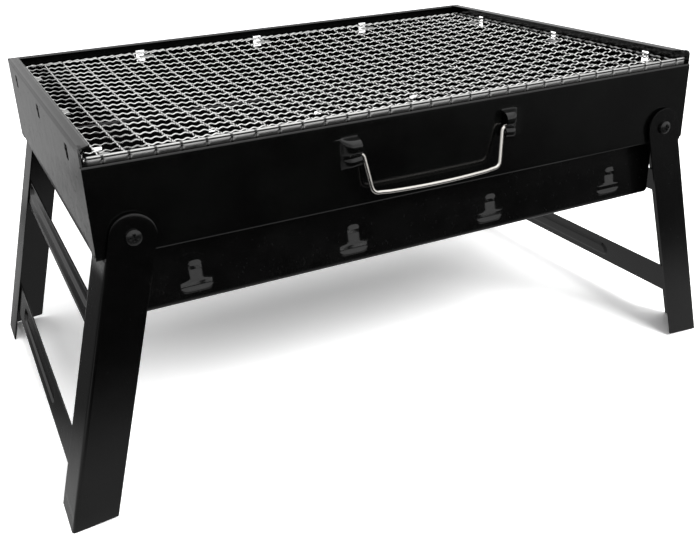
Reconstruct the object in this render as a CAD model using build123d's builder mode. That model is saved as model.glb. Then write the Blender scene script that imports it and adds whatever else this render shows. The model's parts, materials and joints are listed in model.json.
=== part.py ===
"""Folding camp grill: a sheet steel frame on two folding leg frames, a firebox that
telescopes up into the frame, a loose charcoal grate, a lift-off cooking mesh and a wire handle.

Millimetres. The floor is z = 0, the front is -Y, the length runs along X.
"""
import os
from math import atan2, cos, degrees, radians, sin

from build123d import *

# ---- driving dimensions -------------------------------------------------------------
sheet = 0.8                # wall of every pressed sheet part except the legs
frame_length = 350.0       # outside, along X
frame_depth = 245.0        # outside, along Y
frame_bottom = 139.0
frame_top = 190.5          # top of the end and rear panels
front_top = 183.2          # the front panel stops lower, and the mesh rests on it
ledge_inner = 117.2        # inner edge of the firebox ledges (|y|); the vent hoods pass inside
end_ledge_inner = 162.5    # the same on the end panels (|x|)
flange_inner = 168.5       # inner edge of the end panels' top flange (|x|)
flange_front_cut = 8.0     # the flange stops this far from the front
corner_round = 2.2         # top front corner of an end panel
tab_spacing = 87.5         # pressed tabs that carry the mesh
tab_width = 3.0
tab_reach = 7.5
rear_tab_reach = 5.5
tab_slot = 5.6

firebox_half_length = 161.5
firebox_half_depth = 114.5
firebox_bottom = 104.3
firebox_lip_top = frame_bottom + 2 * sheet
corner_run = 8.0           # the firebox's cut-off lower corners, along X
corner_rise = 6.9          # and along Z
lip_half_length = 150.0    # front and rear lips stop short of the pivot nuts
lip_half_depth = 112.0
lip_reach_front = 6.3
lip_reach_end = 10.5

vent_pitch = 85.7
vent_bar_width = 17.0
vent_bar_height = 8.0
vent_bar_z = 113.6
vent_stem_width = 7.0
vent_top = 126.4
vent_hood = 2.2            # how far a hood stands out of the wall
vent_slit = 1.6

pivot_x = 157.6
pivot_z = 148.5
leg_splay = 14.92          # degrees from upright
leg_width = 22.0
leg_sheet = 1.0
leg_flange_depth = 26.8
leg_inner_length = 148.7   # to the inner corner of the foot
washer_thickness = 1.5
screw_diameter = 4.0
screw_head_diameter = 7.5
screw_head_height = 2.2
leg_hole_clearance = 0.12  # on the diameter
flange_notch = 27.0        # the flange starts this far down where it passes the firebox
flange_slant_end = 115.0   # |y| where the slant at its top ends
bar_half_length = 112.0
upper_bar_start, upper_bar_width = 40.0, 15.5
lower_bar_start, lower_bar_width = 114.9, 20.6
rib_depth = 1.2

grate_z = 112.6            # underside of the charcoal grate's bars
grate_bar = 2.4
grate_half_length = 146.0
grate_half_depth = 108.0
grate_pitch = 14.6
grate_cross_pitch = 73.0

mesh_half_length = 168.3
mesh_front = -121.6
mesh_rear = 119.4
mesh_border = 2.0          # width of the border strip
mesh_border_height = 3.9
mesh_column_pitch = 11.8
mesh_row_pitch = 11.6
mesh_dish = 6.6            # how far the middle sags
mesh_wire = 1.8
mesh_columns, mesh_rows = 29, 21

handle_wire = 2.2
handle_half_width = 42.4   # at the pivots
handle_bottom_half_width = 37.9
handle_pivot_z = 167.3
handle_pivot_out = 2.8     # wire centre in front of the panel
handle_bottom_z = 146.8
handle_bottom_out = 6.1
handle_bow = 1.6
handle_end = 11.0          # length of the straight end that runs into its clip
clip_start = 1.9           # gap from the wire's bend to the clip
clip_length = 10.4

half_x = frame_length / 2
half_y = frame_depth / 2
inside_x = half_x - sheet
inside_y = half_y - sheet
leg_back = half_y + washer_thickness
leg_face = leg_back + leg_sheet
head_face = leg_face + screw_head_height
handle_reach = half_y + handle_bottom_out + handle_bow + handle_wire / 2
centre_shift = (handle_reach - head_face) / 2      # puts the outline's middle on y = 0
splay = radians(leg_splay)


# ---- frame --------------------------------------------------------------------------
with BuildPart() as front_panel:
    with BuildSketch(Plane.XZ.offset(inside_y)):
        with Locations((0, (frame_bottom + front_top) / 2)):
            Rectangle(frame_length, front_top - frame_bottom)
        with Locations((-pivot_x, pivot_z), (pivot_x, pivot_z)):
            Circle(screw_diameter / 2, mode=Mode.SUBTRACT)
    extrude(amount=sheet)
    # the ledge under the firebox lip
    with Locations((0, -(inside_y + ledge_inner) / 2, frame_bottom + sheet / 2)):
        Box(2 * (inside_x - 8), inside_y - ledge_inner, sheet)
    # two pressed clips, each with a large upper and a small lower lobe round the wire end
    for side in (-1, 1):
        clip_middle = side * (handle_half_width + clip_start + clip_length / 2)
        with BuildSketch(Plane.YZ.offset(clip_middle - clip_length / 2)):
            with BuildLine():
                outline = Polyline(
                    (-half_y, handle_pivot_z + 7.4),
                    (-half_y - 1.6, handle_pivot_z + 7.2),
                    (-half_y - 4.6, handle_pivot_z + 4.6),
                    (-half_y - 5.1, handle_pivot_z + 2.2),
                    (-half_y - 4.7, handle_pivot_z + 0.3),
                    (-half_y - 4.5, handle_pivot_z - 0.3),
                    (-half_y - 4.6, handle_pivot_z - 2.4),
                    (-half_y - 3.2, handle_pivot_z - 4.6),
                    (-half_y, handle_pivot_z - 5.8),
                    close=True,
                )
            make_face()
            with Locations((-half_y - handle_pivot_out, handle_pivot_z)):
                Circle(handle_wire / 2 + 0.15, mode=Mode.SUBTRACT)
        extrude(amount=clip_length)

with BuildPart() as rear_panel:
    with BuildSketch(Plane.XZ.offset(-half_y)):
        with Locations((0, (frame_bottom + frame_top) / 2)):
            Rectangle(frame_length, frame_top - frame_bottom)
        with Locations((-pivot_x, pivot_z), (pivot_x, pivot_z)):
            Circle(screw_diameter / 2, mode=Mode.SUBTRACT)
        with Locations(*[(i * tab_spacing, front_top - sheet - tab_slot / 2) for i in (-1, 0, 1)]):
            Rectangle(tab_width, tab_slot, mode=Mode.SUBTRACT)
    extrude(amount=sheet)
    with Locations((0, (inside_y + ledge_inner) / 2, frame_bottom + sheet / 2)):
        Box(2 * (inside_x - 8), inside_y - ledge_inner, sheet)
    # a narrow turned-in top edge, behind the mesh
    with Locations((0, inside_y - 0.7, frame_top - sheet / 2)):
        Box(2 * inside_x - 12, 1.4, sheet)
    with Locations(*[(i * tab_spacing, inside_y - rear_tab_reach / 2, front_top - sheet / 2)
                     for i in (-1, 0, 1)]):
        Box(tab_width, rear_tab_reach, sheet)

with BuildPart() as right_end_panel:
    with BuildSketch(Plane.YZ.offset(inside_x)):
        with BuildLine():
            Polyline(
                (-inside_y + corner_round, frame_top), (inside_y, frame_top),
                (inside_y, frame_bottom + 4), (inside_y - 4, frame_bottom),
                (-inside_y + 4, frame_bottom), (-inside_y, frame_bottom + 4),
                (-inside_y, frame_top - corner_round),
            )
            RadiusArc((-inside_y, frame_top - corner_round),
                      (-inside_y + corner_round, frame_top), corner_round)
        make_face()
        with Locations(*[(i * tab_spacing, front_top - sheet - tab_slot / 2) for i in (-1, 0, 1)]):
            Rectangle(tab_width, tab_slot, mode=Mode.SUBTRACT)
    extrude(amount=sheet)
    # the turned-in top flange, cut back at the front
    with BuildSketch(Plane.XY.offset(frame_top - sheet)):
        with BuildLine():
            Polyline(
                (inside_x, -half_y + flange_front_cut - 5),
                (flange_inner, -half_y + flange_front_cut),
                (flange_inner, inside_y - 1.6), (inside_x, inside_y - 1.6), close=True,
            )
        make_face()
    extrude(amount=sheet)
    # the firebox ledge
    with Locations(((inside_x + end_ledge_inner) / 2, 0, frame_bottom + sheet / 2)):
        Box(inside_x - end_ledge_inner, 2 * lip_half_depth, sheet)
    # corner flanges spot welded inside the front and rear panels
    for side in (-1, 1):
        corner_top = front_top - 4 if side < 0 else frame_top - 4
        with Locations((inside_x - 5.2, side * (inside_y - sheet / 2),
                        (frame_bottom + 4 + corner_top) / 2)):
            Box(10.4, sheet, corner_top - frame_bottom - 4)
    with Locations(*[(inside_x - tab_reach / 2, i * tab_spacing, front_top - sheet / 2)
                     for i in (-1, 0, 1)]):
        Box(tab_reach, tab_width, sheet)

with BuildPart() as left_end_panel:
    mirror(right_end_panel.part, about=Plane.YZ)


# ---- pivot hardware: four screws, washers and nuts -------------------------------------
with BuildPart() as pivot_screws:
    for side in (-1, 1):
        face = Plane(origin=(0, side * leg_face, pivot_z), x_dir=(-side, 0, 0),
                     z_dir=(0, side, 0))
        with BuildSketch(face):
            with Locations((-pivot_x, 0), (pivot_x, 0)):
                Circle(screw_head_diameter / 2)
        extrude(amount=screw_head_height, taper=14)
        with BuildSketch(face):
            with Locations((-pivot_x, 0), (pivot_x, 0)):
                Circle(screw_diameter / 2)
        extrude(amount=-(leg_face - inside_y + 4.0))
        # the cross recess
        with BuildSketch(face.offset(screw_head_height)):
            with Locations((-pivot_x, 0), (pivot_x, 0)):
                Rectangle(3.4, 0.9)
                Rectangle(0.9, 3.4)
        extrude(amount=-1.3, mode=Mode.SUBTRACT)

with BuildPart() as pivot_washers:
    for side in (-1, 1):
        with BuildSketch(Plane.XZ.offset(-side * half_y)):
            with Locations((-pivot_x, pivot_z), (pivot_x, pivot_z)):
                Circle(5.0)
                Circle(screw_diameter / 2, mode=Mode.SUBTRACT)
        extrude(amount=-side * washer_thickness)

with BuildPart() as pivot_nuts:
    for side in (-1, 1):
        with BuildSketch(Plane.XZ.offset(-side * inside_y)):
            with Locations((-pivot_x, pivot_z), (pivot_x, pivot_z)):
                RegularPolygon(3.5, 6, major_radius=False)
                Circle(screw_diameter / 2, mode=Mode.SUBTRACT)
        extrude(amount=side * 3.2)


# ---- legs: on each side a front and a rear leg joined by two crossbars ------------------
# Across a leg: x runs outward from the pivot line, y runs up the leg, z runs to the front.
leg_plane = Plane(origin=(pivot_x, 0, pivot_z), x_dir=(cos(splay), 0, sin(splay)),
                  z_dir=(0, -1, 0))
# Along the outer flange: x runs to the rear, y runs up the leg, z runs outward.
flange_plane = Plane(origin=(pivot_x, 0, pivot_z), x_dir=(0, 1, 0),
                     z_dir=(cos(splay), 0, sin(splay)))
foot_length = (pivot_z + leg_width / 2 * sin(splay)) / cos(splay)

with BuildPart() as right_front_leg:
    with BuildSketch(leg_plane.offset(leg_back)):
        with BuildLine():
            RadiusArc((-leg_width / 2, 0), (leg_width / 2, 0), leg_width / 2)
            Polyline((leg_width / 2, 0), (leg_width / 2, -foot_length),
                     (-leg_width / 2, -leg_inner_length), (-leg_width / 2, 0))
        make_face()
        Circle((screw_diameter + leg_hole_clearance) / 2, mode=Mode.SUBTRACT)
    extrude(amount=leg_sheet)
    # the outer flange, its top cut on a slant to clear the frame
    with BuildSketch(flange_plane.offset(leg_width / 2 - leg_sheet)):
        with BuildLine():
            Polyline(
                (-leg_face, -foot_length - 2), (-leg_face, -13.5), (-half_y + 4.5, -14.5),
                (-flange_slant_end, -flange_notch),
                (-leg_face + leg_flange_depth, -flange_notch),
                (-leg_face + leg_flange_depth, -foot_length - 2), close=True,
            )
        make_face()
    extrude(amount=leg_sheet)
    # the foot is cut level with the floor
    with Locations((pivot_x + 40, 0, -10)):
        Box(120, 400, 20, mode=Mode.SUBTRACT)

with BuildPart() as right_rear_leg:
    mirror(right_front_leg.part, about=Plane.XZ)

bar_face = leg_width / 2 - leg_sheet        # the bars are welded inside the flanges

with BuildPart() as right_upper_crossbar:
    rib_y = -upper_bar_start - 4.6
    with BuildSketch(flange_plane.offset(bar_face - sheet)):
        with Locations((0, -upper_bar_start - upper_bar_width / 2)):
            RectangleRounded(2 * bar_half_length, upper_bar_width, 2.0)
    extrude(amount=sheet)
    with BuildSketch(flange_plane.offset(bar_face - sheet)):
        with Locations((0, rib_y)):
            SlotOverall(2 * bar_half_length - 34, 6.2)
    extrude(amount=-rib_depth)
    with BuildSketch(flange_plane.offset(bar_face)):
        with Locations((0, rib_y)):
            SlotOverall(2 * bar_half_length - 35.6, 4.6)
    extrude(amount=-rib_depth, mode=Mode.SUBTRACT)

with BuildPart() as right_lower_crossbar:
    rib_y = -lower_bar_start - lower_bar_width / 2
    with BuildSketch(flange_plane.offset(bar_face - sheet)):
        with Locations((0, -lower_bar_start - lower_bar_width / 2)):
            RectangleRounded(2 * bar_half_length, lower_bar_width, 2.0)
    extrude(amount=sheet)
    with BuildSketch(flange_plane.offset(bar_face - sheet)):
        with Locations((14, rib_y)):
            SlotOverall(118, 8.6)
    extrude(amount=-rib_depth)
    with BuildSketch(flange_plane.offset(bar_face)):
        with Locations((14, rib_y)):
            SlotOverall(116.4, 7.0)
    extrude(amount=-rib_depth, mode=Mode.SUBTRACT)

with BuildPart() as left_front_leg:
    mirror(right_front_leg.part, about=Plane.YZ)
with BuildPart() as left_rear_leg:
    mirror(right_rear_leg.part, about=Plane.YZ)
with BuildPart() as left_upper_crossbar:
    mirror(right_upper_crossbar.part, about=Plane.YZ)
with BuildPart() as left_lower_crossbar:
    mirror(right_lower_crossbar.part, about=Plane.YZ)


# ---- firebox ------------------------------------------------------------------------
floor_half = firebox_half_length - corner_run
wall_inside = firebox_half_depth - sheet
corner_angle = atan2(corner_rise, corner_run)

with BuildSketch(Plane.XZ) as firebox_outline:
    with BuildLine():
        Polyline(
            (-firebox_half_length, firebox_lip_top),
            (-firebox_half_length, firebox_bottom + corner_rise),
            (-floor_half, firebox_bottom), (floor_half, firebox_bottom),
            (firebox_half_length, firebox_bottom + corner_rise),
            (firebox_half_length, firebox_lip_top), close=True,
        )
    make_face()

with BuildSketch(Plane.XZ) as firebox_shell:
    add(firebox_outline.sketch)
    offset(firebox_outline.sketch, amount=-sheet, mode=Mode.SUBTRACT)
    with Locations((0, firebox_lip_top - sheet / 2)):
        Rectangle(2 * (firebox_half_length - sheet), sheet, mode=Mode.SUBTRACT)

with BuildPart() as firebox_front_wall:
    extrude(firebox_outline.sketch, amount=firebox_half_depth)
    extrude(firebox_outline.sketch, amount=wall_inside, mode=Mode.SUBTRACT)
    with Locations((0, -firebox_half_depth - lip_reach_front / 2, firebox_lip_top - sheet / 2)):
        Box(2 * lip_half_length, lip_reach_front, sheet)
    # T-shaped vents: a long hooded slit below, a short hooded slit above it
    for i in (-1.5, -0.5, 0.5, 1.5):
        vent_x = i * vent_pitch
        # (middle height, width, height of the hood) of the two hoods
        hoods = ((vent_bar_z + 1.2, vent_bar_width, 5.4),
                 (vent_top - 3.6, vent_stem_width, 5.4))
        for hood_z, hood_width, hood_height in hoods:
            low = hood_z - hood_height / 2
            with BuildSketch(Plane.YZ.offset(vent_x - hood_width / 2)):
                with BuildLine():
                    Polyline(
                        (-firebox_half_depth, low + hood_height),
                        (-firebox_half_depth - vent_hood, low + 0.6),
                        (-firebox_half_depth - vent_hood, low),
                        (-firebox_half_depth, low), close=True,
                    )
                make_face()
            extrude(amount=hood_width)
            # the hood is hollow and opens downward
            with BuildSketch(Plane.YZ.offset(vent_x - hood_width / 2 + 0.7)):
                with BuildLine():
                    Polyline(
                        (-firebox_half_depth + sheet, low + hood_height - 1.0),
                        (-firebox_half_depth, low + hood_height - 1.4),
                        (-firebox_half_depth - vent_hood + 0.6, low + 0.5),
                        (-firebox_half_depth - vent_hood + 0.6, low - 0.1),
                        (-firebox_half_depth, low - 0.1),
                        (-firebox_half_depth, low + 0.2),
                        (-firebox_half_depth + sheet, low + 0.2), close=True,
                    )
                make_face()
            extrude(amount=hood_width - 1.4, mode=Mode.SUBTRACT)

with BuildPart() as firebox_rear_wall:
    mirror(firebox_front_wall.part, about=Plane.XZ)

with BuildPart() as firebox_floor:
    extrude(firebox_shell.sketch, amount=wall_inside, both=True)
    with Locations((0, 0, firebox_bottom)):
        Box(2 * floor_half - 2, 2 * firebox_half_depth, 6 * sheet, mode=Mode.INTERSECT)

with BuildPart() as firebox_right_wall:
    extrude(firebox_shell.sketch, amount=wall_inside, both=True)
    with Locations((floor_half - 1 + 20, 0, firebox_bottom + 30)):
        Box(40, 2 * firebox_half_depth, 80, mode=Mode.INTERSECT)
    with Locations((firebox_half_length + lip_reach_end / 2, 0, firebox_lip_top - sheet / 2)):
        Box(lip_reach_end, 2 * lip_half_depth, sheet)

with BuildPart() as firebox_left_wall:
    mirror(firebox_right_wall.part, about=Plane.YZ)


# ---- charcoal grate: flat bars on four bent feet ---------------------------------------
grate_bars = int(2 * grate_half_length / grate_pitch) + 1
with BuildPart() as charcoal_grate:
    with BuildSketch(Plane.XY.offset(grate_z)):
        with GridLocations(grate_pitch, 1, grate_bars, 1):
            Rectangle(grate_bar, 2 * grate_half_depth)
        with GridLocations(1, grate_cross_pitch * 0.96, 1, 4):
            Rectangle((grate_bars - 1) * grate_pitch + grate_bar, grate_bar)
    extrude(amount=grate_bar)
    foot_height = grate_z - firebox_bottom - sheet
    with Locations(*[(sx * 8 * grate_pitch, sy * (grate_half_depth - 2),
                      grate_z - foot_height / 2)
                     for sx in (-1, 1) for sy in (-1, 1)]):
        Box(grate_bar, grate_bar, foot_height)


# ---- cooking mesh -----------------------------------------------------------------
mesh_bottom = front_top
mesh_middle = (mesh_front + mesh_rear) / 2
mesh_half_depth = (mesh_rear - mesh_front) / 2
net_half_x = mesh_half_length - mesh_border
net_half_y = mesh_half_depth - mesh_border
net_top = mesh_bottom + 1.9                # where the wires leave the border


def sag(u, half):
    """Share of the dish left at u from the middle, over a half span."""
    return 1 - (u / half) ** 2


with BuildPart() as cooking_mesh_border:
    with BuildSketch(Plane.XY.offset(mesh_bottom)):
        with Locations((0, mesh_middle)):
            RectangleRounded(2 * mesh_half_length, 2 * mesh_half_depth, 3.0)
            Rectangle(2 * net_half_x, 2 * net_half_y, mode=Mode.SUBTRACT)
    extrude(amount=mesh_border_height)

with BuildPart() as long_wires:
    for j in range(mesh_rows):
        v = (j - (mesh_rows - 1) / 2) * mesh_row_pitch
        low = net_top - mesh_dish * sag(v, net_half_y)
        with BuildSketch(Plane.XZ.offset(-mesh_middle - v + mesh_wire / 2)):
            with BuildLine():
                over = ThreePointArc((-net_half_x, net_top), (0, low), (net_half_x, net_top))
                under = ThreePointArc((-net_half_x, net_top - mesh_wire),
                                      (0, low - mesh_wire), (net_half_x, net_top - mesh_wire))
                Line(over @ 0, under @ 0)
                Line(over @ 1, under @ 1)
            make_face()
        extrude(amount=-mesh_wire)

with BuildPart() as cooking_mesh_wires:
    for i in range(mesh_columns):
        u = (i - (mesh_columns - 1) / 2) * mesh_column_pitch
        low = net_top + 0.4 - mesh_dish * sag(u, net_half_x)
        with BuildSketch(Plane.YZ.offset(u - mesh_wire / 2)):
            with BuildLine():
                over = ThreePointArc((mesh_middle - net_half_y, net_top + 0.4),
                                     (mesh_middle, low),
                                     (mesh_middle + net_half_y, net_top + 0.4))
                under = ThreePointArc((mesh_middle - net_half_y, net_top + 0.4 - mesh_wire),
                                      (mesh_middle, low - mesh_wire),
                                      (mesh_middle + net_half_y, net_top + 0.4 - mesh_wire))
                Line(over @ 0, under @ 0)
                Line(over @ 1, under @ 1)
            make_face()
        extrude(amount=mesh_wire)
    add(long_wires.part)


# ---- carry handle: one bent wire, its ends turned outward into the clips -----------------
with BuildPart() as carry_handle:
    top_y = -half_y - handle_pivot_out
    low_y = -half_y - handle_bottom_out
    with BuildLine() as handle_path:
        wire = Polyline(
            (-handle_half_width - handle_end, top_y, handle_pivot_z),
            (-handle_half_width, top_y, handle_pivot_z),
            (-handle_bottom_half_width, low_y, handle_bottom_z),
            (-handle_bottom_half_width / 2, low_y - 0.75 * handle_bow, handle_bottom_z - 0.6),
            (0, low_y - handle_bow, handle_bottom_z - 0.8),
            (handle_bottom_half_width / 2, low_y - 0.75 * handle_bow, handle_bottom_z - 0.6),
            (handle_bottom_half_width, low_y, handle_bottom_z),
            (handle_half_width, top_y, handle_pivot_z),
            (handle_half_width + handle_end, top_y, handle_pivot_z),
        )
    with BuildSketch(Plane(origin=wire @ 0, z_dir=(1, 0, 0))):
        Circle(handle_wire / 2)
    sweep(path=wire, transition=Transition.ROUND)


# ---- one STEP file for each piece, centred on the outline -------------------------------
nodes = {
    "front_panel": front_panel, "rear_panel": rear_panel,
    "left_end_panel": left_end_panel, "right_end_panel": right_end_panel,
    "pivot_screws": pivot_screws, "pivot_washers": pivot_washers, "pivot_nuts": pivot_nuts,
    "left_front_leg": left_front_leg, "left_rear_leg": left_rear_leg,
    "left_upper_crossbar": left_upper_crossbar, "left_lower_crossbar": left_lower_crossbar,
    "right_front_leg": right_front_leg, "right_rear_leg": right_rear_leg,
    "right_upper_crossbar": right_upper_crossbar, "right_lower_crossbar": right_lower_crossbar,
    "firebox_front_wall": firebox_front_wall, "firebox_rear_wall": firebox_rear_wall,
    "firebox_left_wall": firebox_left_wall, "firebox_right_wall": firebox_right_wall,
    "firebox_floor": firebox_floor, "charcoal_grate": charcoal_grate,
    "cooking_mesh_wires": cooking_mesh_wires, "cooking_mesh_border": cooking_mesh_border,
    "carry_handle": carry_handle,
}
os.makedirs("parts", exist_ok=True)
for label, node in nodes.items():
    piece = node.part.moved(Location((0, centre_shift, 0)))
    piece.label = label
    export_step(piece, f"parts/{label}.step")
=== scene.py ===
"""Looks for the folding camp grill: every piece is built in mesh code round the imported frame.

Shapes are worked out in millimetres and scaled to metres when a mesh is made.
"""
import json
from math import cos, exp, pi, radians, sin, sqrt

import bmesh
import bpy
from mathutils import Matrix, Vector


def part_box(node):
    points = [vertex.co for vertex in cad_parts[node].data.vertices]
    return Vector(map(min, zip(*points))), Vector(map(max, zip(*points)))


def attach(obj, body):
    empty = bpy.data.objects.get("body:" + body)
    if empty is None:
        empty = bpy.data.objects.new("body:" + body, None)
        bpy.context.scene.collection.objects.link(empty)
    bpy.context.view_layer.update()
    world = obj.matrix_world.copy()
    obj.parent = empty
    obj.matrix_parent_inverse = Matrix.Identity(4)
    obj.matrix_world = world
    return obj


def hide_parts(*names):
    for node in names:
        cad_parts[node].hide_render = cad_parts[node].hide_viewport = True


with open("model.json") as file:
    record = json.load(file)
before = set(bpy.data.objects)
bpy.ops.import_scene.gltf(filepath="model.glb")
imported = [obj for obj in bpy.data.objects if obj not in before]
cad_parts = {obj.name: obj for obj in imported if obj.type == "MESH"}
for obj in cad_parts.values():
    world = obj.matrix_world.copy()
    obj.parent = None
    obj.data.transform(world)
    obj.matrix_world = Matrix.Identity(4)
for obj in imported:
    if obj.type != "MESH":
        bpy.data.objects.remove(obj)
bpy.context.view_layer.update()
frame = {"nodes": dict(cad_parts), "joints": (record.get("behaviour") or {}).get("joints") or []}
scene = bpy.context.scene

MM = 0.001


def box(node):
    """A node's lowest and highest corners, in mm."""
    low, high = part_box(node)
    return low / MM, high / MM


def add_object(name, data):
    made = bpy.data.objects.new(name, data)
    scene.collection.objects.link(made)
    return made


# ---- gauges, pitches and angles --------------------------------------------
SHEET = 0.8
LEG_SHEET = 1.0
LEG_HALF = 11.0
TAB_PITCH = 87.5
VENT_PITCH = 85.7
SPLAY = radians(14.92)

# ---- measures read from the frame ------------------------------------------
end_low, end_high = box("right_end_panel")
rear_low, rear_high = box("rear_panel")
Y0 = (end_low.y + end_high.y) / 2
HALF_X = end_high.x
HALF_Y = rear_high.y - Y0
INSIDE_Y = HALF_Y - SHEET
FRAME_BOTTOM, FRAME_TOP = rear_low.z, rear_high.z
FRONT_TOP = box("front_panel")[1].z
LEDGE_Y = box("front_panel")[1].y - Y0            # inner edge of the front ledge (negative)
LEDGE_X = end_low.x
joints = {j["name"]: j for j in frame["joints"]}
PIVOT_X = joints["right_leg_fold"]["pos_m"][0] / MM
PIVOT_Z = joints["right_leg_fold"]["pos_m"][2] / MM
HANDLE_Z = joints["handle_swing"]["pos_m"][2] / MM
HANDLE_Y = joints["handle_swing"]["pos_m"][1] / MM - Y0
floor_low, floor_high = box("firebox_floor")
BOX_BOTTOM = floor_low.z
BOX_HALF_Y = (floor_high.y - floor_low.y) / 2 + SHEET
wall_high = box("firebox_front_wall")[1]
BOX_HALF_X = wall_high.x
BOX_TOP = wall_high.z - SHEET                     # underside of the lip
side_high = box("firebox_right_wall")[1]
rim_low, rim_high = box("cooking_mesh_border")
leg_low, leg_high = box("right_front_leg")
LEG_FACE = Y0 - leg_low.y
LEG_DEEP = leg_high.y - leg_low.y
screw_low, screw_high = box("pivot_screws")
HEAD_FACE = Y0 - screw_low.y
CENTRE = Vector((0, Y0, 150))                     # a point inside the grill

# ---- the camera, a three-quarter view from the front left ------------------
EYE = Vector((-226.06, -484.35, 294.86)) * MM
AZIMUTH, ELEVATION, ROLL = radians(-24.833), radians(23.916), radians(-2.613)
back = Vector((sin(AZIMUTH) * cos(ELEVATION), -cos(AZIMUTH) * cos(ELEVATION), sin(ELEVATION)))
across = Vector((cos(AZIMUTH), sin(AZIMUTH), 0))
above = back.cross(across)
right = cos(ROLL) * across + sin(ROLL) * above
upward = -sin(ROLL) * across + cos(ROLL) * above
camera_data = bpy.data.cameras.new("camera")
camera_data.sensor_width = 36
camera_data.lens = 44.59
camera_data.shift_x = 0.0188
camera_data.shift_y = -0.0242
camera_data.clip_start = 0.01
turn = Matrix((right, upward, back)).transposed()
camera = add_object("camera", camera_data)
camera.matrix_world = Matrix.Translation(EYE) @ turn.to_4x4()
scene.camera = camera
scene.view_settings.view_transform = "Standard"


# ---- node helpers ----------------------------------------------------------
class Nodes:
    """A small wrapper round one node tree, which is emptied unless it is being added to."""

    def __init__(self, tree, clear=True):
        self.tree = tree
        if clear:
            tree.nodes.clear()

    def add(self, kind, **values):
        node = self.tree.nodes.new(kind)
        for name, value in values.items():
            setattr(node, name, value)
        return node

    def join(self, a, b):
        self.tree.links.new(a, b)

    def math(self, operation, a, b=None):
        node = self.add("ShaderNodeMath", operation=operation)
        for socket, value in zip(node.inputs, (a, b)):
            self.feed(socket, value)
        return node.outputs[0]

    def feed(self, socket, value):
        if value is None:
            return
        if isinstance(value, bpy.types.NodeSocket):
            self.join(value, socket)
        else:
            socket.default_value = value

    def noise(self, where, size_mm, detail, rough=0.5, stretch=None):
        if stretch:
            mapping = self.add("ShaderNodeMapping")
            mapping.inputs["Scale"].default_value = stretch
            self.join(where, mapping.inputs["Vector"])
            where = mapping.outputs[0]
        node = self.add("ShaderNodeTexNoise")
        node.inputs["Scale"].default_value = 1.0 / (size_mm * MM)
        node.inputs["Detail"].default_value = detail
        node.inputs["Roughness"].default_value = rough
        self.join(where, node.inputs["Vector"])
        return node.outputs["Fac"]

    def ramp(self, value, low, high, a, b):
        node = self.add("ShaderNodeMapRange")
        self.join(value, node.inputs["Value"])
        for name, v in (("From Min", low), ("From Max", high), ("To Min", a), ("To Max", b)):
            node.inputs[name].default_value = v
        return node.outputs[0]

    def mix(self, factor, a, b):
        node = self.add("ShaderNodeMix", data_type="RGBA")
        self.feed(node.inputs["Factor"], factor)
        for socket, value in ((node.inputs[6], a), (node.inputs[7], b)):
            self.feed(socket, value if isinstance(value, bpy.types.NodeSocket) else (*value, 1))
        return node.outputs[2]

    def bump(self, height, depth_mm, strength, before=None):
        node = self.add("ShaderNodeBump")
        node.inputs["Strength"].default_value = strength
        node.inputs["Distance"].default_value = depth_mm * MM
        self.join(height, node.inputs["Height"])
        if before is not None:
            self.join(before, node.inputs["Normal"])
        return node.outputs[0]


def surface(name, metallic=0.0, ior=1.5):
    """A new material with a Principled shader, and its wrapper, shader and object coordinates."""
    material = bpy.data.materials.new(name)
    material.use_nodes = True
    n = Nodes(material.node_tree)
    out = n.add("ShaderNodeOutputMaterial")
    shader = n.add("ShaderNodeBsdfPrincipled")
    n.join(shader.outputs[0], out.inputs[0])
    shader.inputs["Metallic"].default_value = metallic
    shader.inputs["IOR"].default_value = ior
    where = n.add("ShaderNodeTexCoord").outputs["Object"]
    return material, n, shader, where


def paint(name, dark, light, rough, dust=0.05, dull_front=False):
    """Semi-gloss black powder coat: a fine orange peel, faint cloudy tone and grains of dust."""
    material, n, shader, where = surface(name, ior=1.52)
    cloud = n.noise(where, 22, 3)
    tone = n.mix(n.ramp(cloud, 0.35, 0.65, 0, 1), dark, light)
    speck = n.ramp(n.noise(where, 0.7, 1), 0.70, 0.78, 0, dust)
    patch = n.ramp(n.noise(where, 35, 2), 0.45, 0.62, 0, 1)
    tone = n.mix(n.math("MULTIPLY", speck, patch), tone, (0.30, 0.29, 0.27))
    n.join(tone, shader.inputs["Base Color"])
    haze = n.ramp(n.noise(where, 9, 4, 0.6), 0.3, 0.7, rough * 0.85, rough * 1.2)
    scuff = n.ramp(n.noise(where, 1.6, 3, 0.7, (1, 0.25, 0.6)), 0.60, 0.72, 0, 0.10)
    n.join(n.math("ADD", haze, scuff), shader.inputs["Roughness"])
    peel_height = n.noise(where, 1.5, 1.5)
    fine = n.noise(where, 0.35, 2)
    normal = n.bump(peel_height, 0.016, 0.6)
    n.join(n.bump(fine, 0.003, 0.4, normal), shader.inputs["Normal"])
    if dull_front:                         # weaker reflection on the side that faces the cooking space
        facing_y = n.add("ShaderNodeSeparateXYZ")
        n.join(n.add("ShaderNodeNewGeometry").outputs["Normal"], facing_y.inputs[0])
        n.join(n.ramp(facing_y.outputs[1], -0.9, -0.5, 0.04, 0.5),
               shader.inputs["Specular IOR Level"])
    return material


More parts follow.
